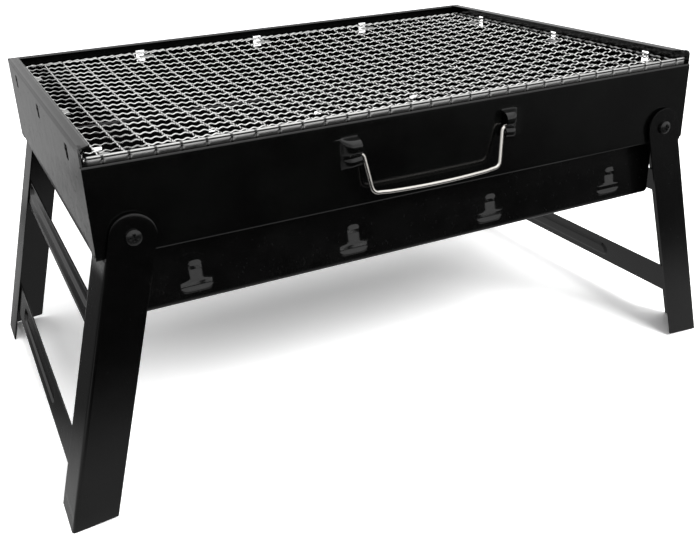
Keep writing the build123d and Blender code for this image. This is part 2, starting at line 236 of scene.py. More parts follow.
def metal(name, bright, dull, rough, grain=(1, 1, 1), grain_mm=0.5, tarnish=0.35, peel=0.01):
    """Bright plated or drawn steel, with drawing lines and faint tarnish."""
    material, n, shader, where = surface(name, metallic=1.0)
    cloud = n.noise(where, 14, 4, 0.6)
    stain = n.ramp(cloud, 0.40, 0.68, 0, tarnish)
    lines = n.noise(where, grain_mm, 2, 0.6, grain)
    tone = n.mix(n.math("MULTIPLY", stain, n.ramp(lines, 0.3, 0.7, 0.5, 1.0)), bright, dull)
    n.join(tone, shader.inputs["Base Color"])
    n.join(n.math("ADD", n.ramp(lines, 0.25, 0.75, rough * 0.75, rough * 1.3),
                  n.math("MULTIPLY", stain, 0.2)), shader.inputs["Roughness"])
    n.join(n.bump(lines, peel, 0.5), shader.inputs["Normal"])
    return material


black = {"dark": (0.0005, 0.0005, 0.0005), "light": (0.0011, 0.0012, 0.0011), "rough": 0.15}
frame_paint = paint("frame_paint", **black)
rear_paint = paint("rear_paint", **black, dull_front=True)
leg_paint = paint("leg_paint", (0.0004, 0.0004, 0.0004), (0.0009, 0.0009, 0.0009), 0.18)
firebox_paint = paint("firebox_paint", (0.0004, 0.0004, 0.0004), (0.0012, 0.0012, 0.0012), 0.20)
inner_paint = paint("inner_paint", (0.0012, 0.0012, 0.0012), (0.0035, 0.0034, 0.0032), 0.50,
                    dust=0.03)
screw_black = paint("screw_black", (0.002, 0.002, 0.002), (0.005, 0.005, 0.005), 0.26, 0.02)
washer_dark = metal("washer_dark", (0.055, 0.055, 0.056), (0.02, 0.02, 0.02), 0.38)
wire_bright = metal("wire_bright", (0.80, 0.80, 0.79), (0.42, 0.41, 0.40), 0.20, grain_mm=0.8)
border_bright = metal("border_bright", (0.74, 0.74, 0.73), (0.42, 0.42, 0.42), 0.30,
                      grain=(0.15, 0.15, 1), grain_mm=0.4)
handle_steel = metal("handle_steel", (0.80, 0.77, 0.73), (0.55, 0.52, 0.48), 0.16,
                     grain=(0.08, 1, 1), grain_mm=0.4, tarnish=0.25, peel=0.004)


# ---- mesh helpers ----------------------------------------------------------
MERGE = 2e-6                             # metres


def spread(*stops):
    """Numbers from stop to stop: spread(0, 3, 1.5) gives 0, .5, 1, 1.5: value, cells, value, ..."""
    out = [float(stops[0])]
    for k in range(1, len(stops), 2):
        cells, end = stops[k], stops[k + 1]
        start = out[-1]
        out += [start + (end - start) * (i + 1) / cells for i in range(cells)]
    return out


def smooth(edge0, edge1, x):
    t = min(1.0, max(0.0, (x - edge0) / (edge1 - edge0)))
    return t * t * (3 - 2 * t)


def arc(cx, cz, radius, start, end, cells):
    """Points of an arc in a plane, angles in degrees."""
    return [(cx + radius * cos(radians(start + (end - start) * k / cells)),
             cz + radius * sin(radians(start + (end - start) * k / cells)))
            for k in range(cells + 1)]


def add_grid(bm, rows, keep=None, closed=False):
    """Adds a grid of points (lists of rows, in mm); keep(i, j) says which cells have a face."""
    made = [[None] * len(r) for r in rows]

    def vert(i, j):
        if made[i][j] is None:
            made[i][j] = bm.verts.new(Vector(rows[i][j]) * MM)
        return made[i][j]

    wide = len(rows[0])
    for i in range(len(rows) - 1):
        for j in range(wide if closed else wide - 1):
            if keep is None or keep(i, j):
                k = (j + 1) % wide
                corners = [vert(i, j), vert(i + 1, j), vert(i + 1, k), vert(i, k)]
                if len(set(corners)) == 4:
                    bm.faces.new(corners)


def shade(mesh, sharp):
    mesh.polygons.foreach_set("use_smooth", [True] * len(mesh.polygons))
    mesh.set_sharp_from_angle(angle=radians(sharp))


def to_object(name, bm, material, sharp=35):
    bmesh.ops.remove_doubles(bm, verts=bm.verts, dist=MERGE)
    mesh = bpy.data.meshes.new(name)
    bm.to_mesh(mesh)
    bm.free()
    mesh.materials.append(material)
    shade(mesh, sharp)
    return add_object(name, mesh)


def sheet_object(name, rows, material, keep=None):
    """An open sheet from one grid of points, with its empty edges and faces taken out."""
    bm = bmesh.new()
    add_grid(bm, rows, keep)
    bmesh.ops.dissolve_degenerate(bm, dist=1e-6, edges=bm.edges)
    return to_object(name, bm, material)


def closed_object(name, bm, material, sharp):
    """Closed skins, with every face turned outwards."""
    bmesh.ops.recalc_face_normals(bm, faces=bm.faces)
    return to_object(name, bm, material, sharp)


def settle(piece, sharp):
    """Applies a piece's modifiers to its mesh."""
    graph = bpy.context.evaluated_depsgraph_get()
    mesh = bpy.data.meshes.new_from_object(piece.evaluated_get(graph), depsgraph=graph)
    piece.modifiers.clear()
    old, piece.data = piece.data, mesh
    bpy.data.meshes.remove(old)
    shade(mesh, sharp)
    return piece


def thicken(piece, thickness, edge, inside=CENTRE, sharp=35):
    """Gives an open sheet its thickness on the side towards `inside`, and rounds its edges."""
    mesh = piece.data
    facing = sum((p.center - inside * MM).dot(p.normal) * p.area for p in mesh.polygons)
    if facing < 0:
        mesh.flip_normals()
    solid = piece.modifiers.new("sheet", "SOLIDIFY")
    solid.thickness = thickness * MM
    solid.offset = -1
    solid.use_even_offset = True
    solid.use_rim = True
    if edge:
        round_edges(piece, edge, 40)
    return settle(piece, sharp)


def round_edges(piece, edge, angle):
    bevel = piece.modifiers.new("edges", "BEVEL")
    bevel.width = edge * MM
    bevel.segments = 2
    bevel.limit_method = "ANGLE"
    bevel.angle_limit = radians(angle)
    bevel.harden_normals = False
    weight = piece.modifiers.new("normals", "WEIGHTED_NORMAL")
    weight.keep_sharp = True


def mirrored(piece, name, across_x=False, across_y=False):
    """A mirrored copy, across the plane x = 0 and / or the plane y = Y0."""
    mesh = piece.data.copy()
    flip = Matrix.Identity(4)
    if across_x:
        flip[0][0] = -1
    if across_y:
        flip[1][1] = -1
        flip[1][3] = 2 * Y0 * MM
    mesh.transform(flip)
    if across_x != across_y:
        mesh.flip_normals()
    return add_object(name, mesh)


def tube(bm, path, radius, sides):
    """A round wire with closed ends along a list of points, with parallel frames."""
    path = [Vector(p) for p in path]
    count = len(path)
    ahead = [(path[min(k + 1, count - 1)] - path[max(k - 1, 0)]).normalized() for k in range(count)]
    side = ahead[0].orthogonal().normalized()
    rings = []
    for k in range(count):
        side = (side - ahead[k] * side.dot(ahead[k])).normalized()
        other = ahead[k].cross(side)
        rings.append([bm.verts.new((path[k] + radius * (cos(2 * pi * a / sides) * side
                                                        + sin(2 * pi * a / sides) * other)) * MM)
                      for a in range(sides)])
    for k in range(count - 1):
        for a in range(sides):
            b = (a + 1) % sides
            bm.faces.new((rings[k][a], rings[k][b], rings[k + 1][b], rings[k + 1][a]))
    bm.faces.new(list(reversed(rings[0])))
    bm.faces.new(rings[-1])


def place(piece, body, slot_name, *nodes):
    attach(piece, body)
    if nodes:
        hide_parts(*nodes)


def stadium(u, v, half_length, radius):
    """Signed distance from a long rounded slot: negative inside."""
    du = max(abs(u) - (half_length - radius), 0)
    return sqrt(du * du + v * v) - radius


# ---- what the front and rear panels share ----------------------------------
BEND = 1.5
TOP_ROUND = 1.0
LEDGE_STOP, HEM_STOP = 8.8, 6.8          # from the ends of a panel
TAB_PLACES = (-1, 0, 1)
TAB_HALF, SLOT_LOW, SLOT_HIGH = 3.0, FRONT_TOP - 5.5, FRONT_TOP + 2.0


def panel_profile(top, stops, hem):
    """(y, z) up a long panel: ledge, bend, wall with a row at each stop, rounded top and hem."""
    line = [(LEDGE_Y, FRAME_BOTTOM), ((LEDGE_Y - HALF_Y) / 2, FRAME_BOTTOM)]
    line += arc(-HALF_Y + BEND, FRAME_BOTTOM + BEND, BEND, 270, 180, 6)
    line += [(-HALF_Y, z) for z in spread(FRAME_BOTTOM + BEND, *stops, top - TOP_ROUND)[1:]]
    line += arc(-HALF_Y + TOP_ROUND, top - TOP_ROUND, TOP_ROUND, 180, 90, 4)[1:]
    return line + hem


def drawn_in(x, y, z):
    """x, or less where a ledge or the rear hem stops short of the end panels."""
    stop = 0.0
    if y > -HALF_Y + 0.9:
        if z < FRAME_BOTTOM + 0.01:
            stop = LEDGE_STOP
        elif z > FRAME_TOP - 0.95:
            stop = HEM_STOP
    return max(-HALF_X + stop, min(HALF_X - stop, x))


# ---- front panel -----------------------------------------------------------
FRONT_HEM = 3.0
CLIP_INNER, CLIP_OUTER = 42.7, 52.6


def clip_height(x, z):
    """How far a pressed handle clip stands out of the panel: open at its inner end, where the
    wire goes in, and faded into the sheet at the outer end."""
    u = abs(x)
    if not CLIP_INNER - 0.01 < u < CLIP_OUTER:
        return 0.0
    best = 0.0
    for middle, half, tall, lean in ((3.5, 4.6, 5.8, 0.0), (-3.0, 3.3, 5.2, 0.12)):
        w = (z - HANDLE_Z - middle + lean * (u - CLIP_INNER)) / half
        if abs(w) < 1:
            best = max(best, tall * sqrt(1 - abs(w) ** 2.6))
    valley = 4.4 * smooth(3.0, 1.6, abs(z - HANDLE_Z))
    fade = sqrt(max(0.0, 1 - smooth(0.25, 1.0, (u - CLIP_INNER) / (CLIP_OUTER - CLIP_INNER)) ** 2))
    return max(best, valley) * fade


half_columns = spread(0, 14, CLIP_INNER - 0.12, 1, CLIP_INNER, 18, CLIP_OUTER, 24, HALF_X)
columns = [-u for u in reversed(half_columns[1:])] + half_columns
profile = panel_profile(FRONT_TOP, (10, HANDLE_Z - 7.6, 40, HANDLE_Z + 8.4, 4),
                        [(-HALF_Y + FRONT_HEM, FRONT_TOP)])
rows = []
for y, z in profile:
    on_face = abs(y + HALF_Y) < 1e-6
    rows.append([(drawn_in(x, y, z), Y0 + y - (clip_height(x, z) if on_face else 0.0), z)
                 for x in columns])


def keep_front(i, j):
    """No sheet across the open inner end of a clip."""
    inner = min(abs(columns[j]), abs(columns[j + 1]))
    z = (profile[i][1] + profile[i + 1][1]) / 2
    return not (CLIP_INNER - 0.2 < inner < CLIP_INNER - 0.05 and clip_height(CLIP_INNER, z) > 1.0)


panel = sheet_object("front_panel_skin", rows, frame_paint, keep_front)
thicken(panel, SHEET, 0.15)
place(panel, "frame", "frame_paint", "front_panel")


# ---- rear panel ------------------------------------------------------------
def past_tabs(end, outer, between):
    """Numbers from -end to end that stop at both sides of each tab's slot."""
    stops = [-end, outer]
    for k in TAB_PLACES:
        stops += [k * TAB_PITCH - TAB_HALF, 2, k * TAB_PITCH + TAB_HALF, between]
    return spread(*stops[:-1], outer, end)


def in_tab_slot(u, z):
    """True for the middle of a cell that falls in one of the three tab slots."""
    return (SLOT_LOW < z < SLOT_HIGH
            and any(abs(u - k * TAB_PITCH) < TAB_HALF for k in TAB_PLACES))


def centre_of(rows, i, j, axis):
    return sum(rows[a][b][axis] for a in (i, i + 1) for b in (j, j + 1)) / 4


def tab_object(name, turned, inside):
    """A panel's pressed tabs under the mesh, each bent in about one upright side of its slot."""
    edge = HALF_X if turned else HALF_Y
    bm = bmesh.new()
    for k in TAB_PLACES:
        rows = []
        for inward, aside in ((0.1, 3.25), (0.4, 3.05), (0.9, 2.95), (2.5, 2.95), (6.0, 2.95),
                              (7.0, 2.95)):
            x, y = edge - inward, k * TAB_PITCH + aside
            if not turned:
                x, y = y, x
            rows.append([(x, Y0 + y, z) for z in spread(FRONT_TOP - 1.6, 2, FRONT_TOP - 0.05)])
        add_grid(bm, rows)
    tabs = to_object(name, bm, frame_paint)
    return thicken(tabs, SHEET - 0.1, 0.12, inside)


profile = panel_profile(FRAME_TOP, (10, SLOT_LOW, 2, SLOT_HIGH, 3),
                        [(-HALF_Y + 2.2, FRAME_TOP - 0.45), (-HALF_Y + 3.2, FRAME_TOP - 0.9)])
rows = [[(drawn_in(x, y, z), Y0 - y, z) for x in past_tabs(HALF_X, 10, 10)] for y, z in profile]
panel = sheet_object("rear_panel_skin", rows, rear_paint,
                     lambda i, j: not in_tab_slot(centre_of(rows, i, j, 0),
                                                  centre_of(rows, i, j, 2)))
thicken(panel, SHEET, 0.15)
place(panel, "frame", "frame_paint", "rear_panel")
tabs = tab_object("rear_tabs", False, Vector((-500, Y0, 180)))
place(tabs, "frame", "frame_paint")

# ---- end panels ------------------------------------------------------------
END_BEND = 1.3
FLANGE_X = 168.5
FLANGE_FRONT = -118.4
FLANGE_REAR = INSIDE_Y - 1.7
FLANGE_SLANT = 4.0                       # how far the flange's front edge runs back
LEDGE_HALF = 112.0
CORNER = 2.2
LOW_CUT = 4.0                            # of the wall's lower corners, at 45 degrees
STEP = 0.15                              # between the two columns where an outline jumps
columns = [-INSIDE_Y + CORNER * (1 - cos(radians(a))) for a in (0, 18, 36, 54, 72, 90)]
columns += [FLANGE_FRONT, FLANGE_FRONT + STEP, -LEDGE_HALF - STEP]
columns += past_tabs(LEDGE_HALF, 7, 24)
columns += [LEDGE_HALF + STEP, INSIDE_Y - LOW_CUT, FLANGE_REAR, FLANGE_REAR + STEP, INSIDE_Y]


def end_point(kind, t, y):
    """One point of an end panel's outer skin at depth y: kind is the run, and t the way along
    it or, in the wall, the height."""
    ledge_here = abs(y) <= LEDGE_HALF + 0.01
    flange_here = FLANGE_FRONT + 0.1 < y < FLANGE_REAR + 0.01
    low = FRAME_BOTTOM + max(0.0, abs(y) - (INSIDE_Y - LOW_CUT))
    past_round = max(0.0, -INSIDE_Y + CORNER - y)
    high = FRAME_TOP - CORNER + sqrt(max(0.0, CORNER ** 2 - past_round ** 2))
    if kind == "ledge":
        return (LEDGE_X + t * (HALF_X - END_BEND - LEDGE_X), y, FRAME_BOTTOM)
    if kind == "low":
        if ledge_here:
            a = radians(270 + 90 * t)
            return (HALF_X - END_BEND + END_BEND * cos(a), y,
                    FRAME_BOTTOM + END_BEND + END_BEND * sin(a))
        return (HALF_X, y, low + t * (FRAME_BOTTOM + END_BEND + 4.2 - low) * 0.2)
    if kind == "wall":
        bottom = FRAME_BOTTOM + END_BEND if ledge_here else low + 1.2
        return (HALF_X, y, min(max(t, bottom), high))
    if kind == "high":
        if flange_here:
            a = radians(90 * t)
            return (HALF_X - END_BEND + END_BEND * cos(a), y,
                    FRAME_TOP - END_BEND + END_BEND * sin(a))
        start = min(FRAME_TOP - END_BEND, high)
        return (HALF_X, y, start + t * (high - start))
    return (HALF_X - END_BEND - t * (HALF_X - END_BEND - FLANGE_X),
            max(y, FLANGE_FRONT + t * FLANGE_SLANT), FRAME_TOP)


runs = [("ledge", t) for t in (0.0, 0.5)] + [("low", t) for t in spread(0, 5, 1)]
runs += [("wall", z) for z in spread(FRAME_BOTTOM + END_BEND, 8, SLOT_LOW, 2, SLOT_HIGH, 3,
                                     FRAME_TOP - END_BEND)[1:]]
runs += [("high", t) for t in spread(0, 6, 1)[1:]] + [("flange", t) for t in (0.3, 0.7, 1.0)]
rows = [[(p[0], Y0 + p[1], p[2]) for p in (end_point(kind, t, y) for y in columns)]
        for kind, t in runs]


def keep_end(i, j):
    kinds = (runs[i][0], runs[i + 1][0])
    middle = (columns[j] + columns[j + 1]) / 2
    if "ledge" in kinds and abs(middle) > LEDGE_HALF:
        return False
    if "flange" in kinds and not FLANGE_FRONT + STEP < middle < FLANGE_REAR:
        return False
    return not in_tab_slot(middle, centre_of(rows, i, j, 2))


panel = sheet_object("right_end_skin", rows, frame_paint, keep_end)
thicken(panel, SHEET, 0.15)
place(panel, "frame", "frame_paint", "right_end_panel")
place(mirrored(panel, "left_end_skin", across_x=True), "frame", "frame_paint", "left_end_panel")
tabs = tab_object("right_end_tabs", True, Vector((170, Y0 - 500, 180)))
place(tabs, "frame", "frame_paint")
place(mirrored(tabs, "left_end_tabs", across_x=True), "frame", "frame_paint")

# ---- legs ------------------------------------------------------------------
LEG_BEND = 1.8
FOOT = (PIVOT_Z + LEG_HALF * sin(SPLAY)) / cos(SPLAY)
INNER_FOOT = 148.7
FLANGE_END = LEG_FACE - LEG_DEEP
FLANGE_TOP = -13.5


def leg_world(a, b, c):
    """From along-the-leg measures (across, up, out) to the right leg's place."""
    return (PIVOT_X + a * cos(SPLAY) - b * sin(SPLAY), Y0 - c,
            PIVOT_Z + a * sin(SPLAY) + b * cos(SPLAY))


flat_a = [-LEG_HALF + (2 * LEG_HALF - LEG_BEND) * (1 - cos(pi * k / 22)) / 2 for k in range(23)]
bend = arc(LEG_HALF - LEG_BEND, LEG_FACE - LEG_BEND, LEG_BEND, 90, 0, 6)
flange_c = spread(LEG_FACE - LEG_BEND, 14, FLANGE_END)
section = [(a, LEG_FACE) for a in flat_a] + bend[1:] + [(LEG_HALF, c) for c in flange_c[1:]]
first_bend = len(flat_a)
first_flange = first_bend + len(bend) - 1


def flange_top(c):
    return FLANGE_TOP - 2.0 * (LEG_FACE - c) / LEG_DEEP


rows = []
for t in spread(0, 14, 1):
    row = []
    for k, (a, c) in enumerate(section):
        low = -INNER_FOOT - (a + LEG_HALF) / (2 * LEG_HALF) * (FOOT - INNER_FOOT)
        high = FLANGE_TOP if k < first_flange else flange_top(c)
        row.append(leg_world(a, low + t * (high - low), c))
    rows.append(row)
split = len(rows)
for t in spread(0, 10, 1)[1:]:
    row = []
    for k, (a, c) in enumerate(section):
        if k >= first_flange:
            a = LEG_HALF
        elif k >= first_bend:
            a = LEG_HALF - LEG_BEND + LEG_BEND * (k - first_bend + 1) / (first_flange - first_bend)
        high = sqrt(max(0.0, LEG_HALF ** 2 - a * a))
        row.append(leg_world(a, FLANGE_TOP + t * (high - FLANGE_TOP), LEG_FACE))
    rows.append(row)
leg = sheet_object("right_front_leg_skin", rows, leg_paint,
                   lambda i, j: i < split - 1 or j < first_flange - 1)
thicken(leg, LEG_SHEET, 0.22, inside=Vector((0, Y0, 60)))
place(leg, "right_leg_frame", "leg_paint", "right_front_leg")
for name, x_flip, y_flip in (("right_rear_leg", False, True), ("left_front_leg", True, False),
                             ("left_rear_leg", True, True)):
    place(mirrored(leg, name + "_skin", x_flip, y_flip), name.split("_")[0] + "_leg_frame",
          "leg_paint", name)

# ---- crossbars -------------------------------------------------------------
BAR_FACE = LEG_HALF - LEG_SHEET
BAR_HALF = 112.0
BAR_CORNER = 2.0
GROOVE_DEEP = 1.2
COARSE = 9.0


def crossbar(name, start, width, groove, middle_y, half_length, radius):
    """A strip across two legs with a long pressed groove: start and groove are distances down
    from the pivot, of the strip's upper edge and of the groove's middle."""
    along = [-BAR_HALF + BAR_CORNER * (1 - cos(radians(a))) for a in (0, 22, 45, 67, 90)]
    corner = along[:-1]
    # fine cells at both ends of the groove, coarse ones of about COARSE between
    stops = sorted(round(middle_y + s * (half_length - o), 3) for s in (-1, 1)
                   for o in (-1.2, radius + 1.0))
    for k, stop in enumerate(stops + [BAR_HALF - BAR_CORNER]):
        cells = 14 if k in (1, 3) else max(2, int((stop - along[-1]) / COARSE))
        along += spread(along[-1], cells, stop)[1:]
    along += [-v for v in reversed(corner)]
    middle, half = (groove - start) / width, (radius + 1.0) / width
    rows = []
    for t in spread(0, 3, max(0.02, middle - half), 18, min(0.98, middle + half), 3, 1):
        row = []
        for y in along:
            over = max(0.0, abs(y) - (BAR_HALF - BAR_CORNER))
            pinch = BAR_CORNER - sqrt(max(0.0, BAR_CORNER ** 2 - over * over))
            down = start + pinch + t * (width - 2 * pinch)
            press = GROOVE_DEEP * (1 - smooth(-0.9, 0.7, stadium(y - middle_y, down - groove,
                                                                 half_length, radius)))
            x, _, z = leg_world(BAR_FACE - press, -down, 0)
            row.append((x, Y0 + y, z))
        rows.append(row)
    bar = sheet_object(name, rows, leg_paint)
    return thicken(bar, SHEET, 0.15, inside=Vector((0, Y0, 60)))


for level, *sizes in (("upper", 40.0, 15.5, 44.6, 0, 95.0, 3.1),
                      ("lower", 114.9, 20.6, 125.2, 14.0, 59.0, 4.3)):
    bar = crossbar(f"right_{level}_bar", *sizes)
    place(bar, "right_leg_frame", "leg_paint", f"right_{level}_crossbar")
    place(mirrored(bar, f"left_{level}_bar", across_x=True), "left_leg_frame", "leg_paint",
          f"left_{level}_crossbar")

# ---- firebox ---------------------------------------------------------------
WALL_BEND = 2.6
LIP_BEND = 1.2
LIP_HALF = 150.0
LIP_REACH = 6.3
VENT_LOW, VENT_HIGH = 108.8, 127.2
VENT_REACH = 9.4                         # of the fine cells, each way from a vent's middle
# heights of a vent's parts above the box's bottom, each up to the next
PLATE_Z, LONG_SLIT_Z, FLARE_Z, STEM_Z = 5.2, 8.5, 11.0, 12.5
SLIT_Z, CAP_Z, CAP_TOP = 17.2, 19.4, 22.1
PLATE_HALF, STEM_HALF, SLIT_HALF, CAP_HALF = 8.3, 3.5, 3.35, 3.4


def louvre(u, z):
    """(out, open) at a place in a T-shaped vent: how far the pressed plates stand out there,
    and whether the sheet is slit through."""
    z -= BOX_BOTTOM
    u = abs(u)

    def plate(half, out):
        return (out * sqrt(max(0.0, 1 - (u / (half + 0.25)) ** 6)) if u < half else 0.0), False

    if CAP_Z <= z <= CAP_TOP:                          # a half-moon
        tall = CAP_TOP - CAP_Z
        return plate(CAP_HALF * sqrt(max(0.0, 1 - ((z - CAP_Z) / tall) ** 2)),
                     0.85 * (CAP_TOP - z) / tall)
    if SLIT_Z <= z < CAP_Z:
        return 0.0, u < SLIT_HALF
    if STEM_Z <= z < SLIT_Z:
        return plate(STEM_HALF, -0.45 + 1.4 * (SLIT_Z - z) / (SLIT_Z - STEM_Z))
    if FLARE_Z <= z < STEM_Z:                          # the stem widens to the full width
        return plate(STEM_HALF + 5.0 * min(1.0, (STEM_Z - z) / 1.1) ** 0.75,
                     0.95 + 0.4 * (STEM_Z - z) / (STEM_Z - FLARE_Z))
    if LONG_SLIT_Z <= z < FLARE_Z:
        return 0.0, u < PLATE_HALF - 0.4 * abs(z - 10.2)
    if PLATE_Z <= z < LONG_SLIT_Z:                     # the lower plate, its corners cut
        bulge = -0.4 + 1.2 * smooth(LONG_SLIT_Z, 6.0, z) - 0.8 * smooth(6.1, PLATE_Z, z)
        return plate(PLATE_HALF - 2.2 * max(0.0, (8.2 - z) / 2.8) ** 1.3, bulge)
    return 0.0, False


def from_vent(x):
    """How far x is from the middle of the nearest vent."""
    return x - (round(x / VENT_PITCH - 0.5) + 0.5) * VENT_PITCH


def corner_plan(x, start):
    """A rounded corner in the wall's plan line, with its outward directions."""
    points = arc(x, -BOX_HALF_Y + WALL_BEND, WALL_BEND, start, start + 90, 6)
    angles = [radians(start + 15 * k) for k in range(7)]
    return [(*point, cos(a), sin(a)) for point, a in zip(points, angles)]


def wall_point(kind, t, x, flat):
    """(out, z) at a level of the wall: kind is the run, and t the way along it, the angle of a
    bend or, in the wall, the height."""
    if kind == "bend":
        a = radians(t)
        return -WALL_BEND * (1 - sin(a)), BOX_BOTTOM + WALL_BEND * (1 - cos(a))
    if kind == "rise":
        return 0.0, BOX_BOTTOM + WALL_BEND + t * (VENT_LOW - BOX_BOTTOM - WALL_BEND)
    if kind == "wall":
        return (louvre(from_vent(x), t)[0] if flat and t < VENT_HIGH else 0.0), t
    if abs(x) > LIP_HALF:                              # no lip here: these rows get no faces
        return 0.0, BOX_TOP - LIP_BEND + (0.1 if kind == "lip" else 0.2)
    if kind == "lip":
        a = radians(t)
        return LIP_BEND * (1 - cos(a)), BOX_TOP - LIP_BEND + LIP_BEND * sin(a)
    return LIP_BEND + t * (LIP_REACH - LIP_BEND), BOX_TOP


stops = [-BOX_HALF_X + WALL_BEND]
for i in (-1.5, -0.5, 0.5, 1.5):
    stops += [8, i * VENT_PITCH - VENT_REACH, 44, i * VENT_PITCH + VENT_REACH]
straight = spread(*stops, 8, BOX_HALF_X - WALL_BEND)[1:]
plan = corner_plan(-BOX_HALF_X + WALL_BEND, 180)       # (x, y, nx, ny) along the wall
plan += [(x, -BOX_HALF_Y, 0.0, -1.0) for x in straight]
plan += corner_plan(BOX_HALF_X - WALL_BEND, 270)[1:]
levels = [("bend", a) for a in spread(0, 6, 90)]
levels += [("rise", t) for t in spread(0, 2, 1)[1:]]
levels += [("wall", z) for z in spread(VENT_LOW, 60, VENT_HIGH)]
levels += [("wall", z) for z in spread(VENT_HIGH, 4, BOX_TOP - LIP_BEND)[1:]]
levels += [("lip", a) for a in spread(0, 4, 90)[1:]] + [("reach", t) for t in (0.5, 1.0)]
rows = []
for kind, t in levels:
    row = []
    for x, y, nx, ny in plan:
        out, z = wall_point(kind, t, x, ny == -1.0)
        row.append((x + nx * out, Y0 + y + ny * out, z))
    rows.append(row)


def keep_wall(i, j):
    (kind, t), (kind_up, t_up) = levels[i], levels[i + 1]
    x = (plan[j][0] + plan[j + 1][0]) / 2
    if kind_up in ("lip", "reach") and abs(x) > LIP_HALF:
        return False
    if kind == "wall" and kind_up == "wall" and plan[j][3] == -1.0 and plan[j + 1][3] == -1.0:
        return not louvre(from_vent(x), (t + t_up) / 2)[1]
    return True


wall = sheet_object("firebox_front_skin", rows, firebox_paint, keep_wall)
thicken(wall, SHEET, 0, inside=Vector((0, Y0, 130)), sharp=50)
place(wall, "firebox", "firebox_paint", "firebox_front_wall")
place(mirrored(wall, "firebox_rear_skin", across_y=True), "firebox", "firebox_paint",
      "firebox_rear_wall")

wall_profile = arc(BOX_HALF_X - WALL_BEND, BOX_BOTTOM + WALL_BEND, WALL_BEND, 270, 360, 6)
wall_profile += [(BOX_HALF_X, z) for z in spread(BOX_BOTTOM + WALL_BEND, 8, BOX_TOP - LIP_BEND)[1:]]
wall_profile += arc(BOX_HALF_X + LIP_BEND, BOX_TOP - LIP_BEND, LIP_BEND, 180, 90, 4)[1:]
wall_profile += [(side_high.x, BOX_TOP)]
wall_y = spread(-BOX_HALF_Y + WALL_BEND, 24, BOX_HALF_Y - WALL_BEND)
rows = [[(x, Y0 + y, z) for y in wall_y] for x, z in wall_profile]
wall = sheet_object("firebox_right_skin", rows, firebox_paint)
thicken(wall, SHEET, 0, inside=Vector((0, Y0, 135)), sharp=50)
place(wall, "firebox", "firebox_paint", "firebox_right_wall")
place(mirrored(wall, "firebox_left_skin", across_x=True), "firebox", "firebox_paint",
      "firebox_left_wall")

# the floor is stiffened with a shallow pressed panel
PRESS_X, PRESS_Y, PRESS_SLOPE, PRESS_DEEP = 130, 90, 6, 0.7


def past_press(end, press, between):
    """Numbers from -end to end that stop at both edges of the pressed panel's slopes."""
    foot = press + PRESS_SLOPE
    return spread(-end, 4, -foot, 6, -press, between, press, 6, foot, 4, end)


def pressed(u, press):
    return smooth(press + PRESS_SLOPE, press, abs(u))


rows = [[(x, Y0 + y, BOX_BOTTOM + PRESS_DEEP * pressed(y, PRESS_Y) * pressed(x, PRESS_X))
         for x in past_press(BOX_HALF_X - WALL_BEND, PRESS_X, 16)]
        for y in past_press(BOX_HALF_Y - WALL_BEND, PRESS_Y, 12)]
base = sheet_object("firebox_floor_skin", rows, firebox_paint)
thicken(base, SHEET, 0, inside=Vector((0, Y0, 135)), sharp=50)
place(base, "firebox", "firebox_paint", "firebox_floor")

# ---- screws, washers and nuts ----------------------------------------------
HEAD_R = (screw_high.x - screw_low.x) / 2 - PIVOT_X
HEAD_H = HEAD_FACE - LEG_FACE
HEAD_SIDES, WASHER_SIDES = 72, 40
CROSS_HALF, CROSS_LONG, CROSS_DEEP = 0.48, 1.9, 1.15
PIVOTS = [(x, y) for x in (-1, 1) for y in (-1, 1)]


def ring(radius, sides):
    """(across, up) points of a circle."""
    turns = [2 * pi * k / sides for k in range(sides)]
    return [(radius * cos(a), radius * sin(a)) for a in turns]


def head_height(u, w, radius):
    """How far a screw's domed head stands out, with its cross pressed in."""
    dome = HEAD_H * (1 - 0.42 * (radius / HEAD_R) ** 2.6)
    u, w = abs(u), abs(w)
    past_cross = min(max(u - CROSS_HALF, w - CROSS_LONG), max(w - CROSS_HALF, u - CROSS_LONG))
    return dome - CROSS_DEEP * (1 - smooth(-0.10, 0.14, past_cross)) * (1 - 0.125 * radius)


bm = bmesh.new()
for side_x, side_y in PIVOTS:
    rings = [[(u, w, head_height(u, w, r)) for u, w in ring(r, HEAD_SIDES)]
             for r in spread(0.001, 14, 2.2, 6, HEAD_R)]
    rings += [[(u, w, height) for u, w in ring(r, HEAD_SIDES)]
              for r, height in ((HEAD_R, 0.42 * HEAD_H), (HEAD_R, 0.12), (HEAD_R - 0.15, 0.0))]
    add_grid(bm, [[(side_x * PIVOT_X + u, Y0 + side_y * (LEG_FACE + height), PIVOT_Z + w)
                   for u, w, height in points] for points in rings], closed=True)
screws = closed_object("pivot_screw_heads", bm, screw_black, 50)
place(screws, "frame", "fastener", "pivot_screws")
bm = bmesh.new()
for side_x, side_y in PIVOTS:
    add_grid(bm, [[(side_x * PIVOT_X + u, Y0 + side_y * (HALF_Y + out), PIVOT_Z + w)
                   for u, w in ring(r, WASHER_SIDES)]
                  for r, out in ((2.0, 0.0), (4.8, 0.0), (5.0, 0.2), (5.0, 1.3), (4.8, 1.5),
                                 (2.0, 1.5))], closed=True)
washers = closed_object("pivot_washer_rings", bm, washer_dark, 40)
place(washers, "frame", "fastener", "pivot_washers")

# the nuts of the CAD stay in view, in the washers' steel
nuts = frame["nodes"]["pivot_nuts"].data
nuts.materials.clear()
nuts.materials.append(washer_dark)

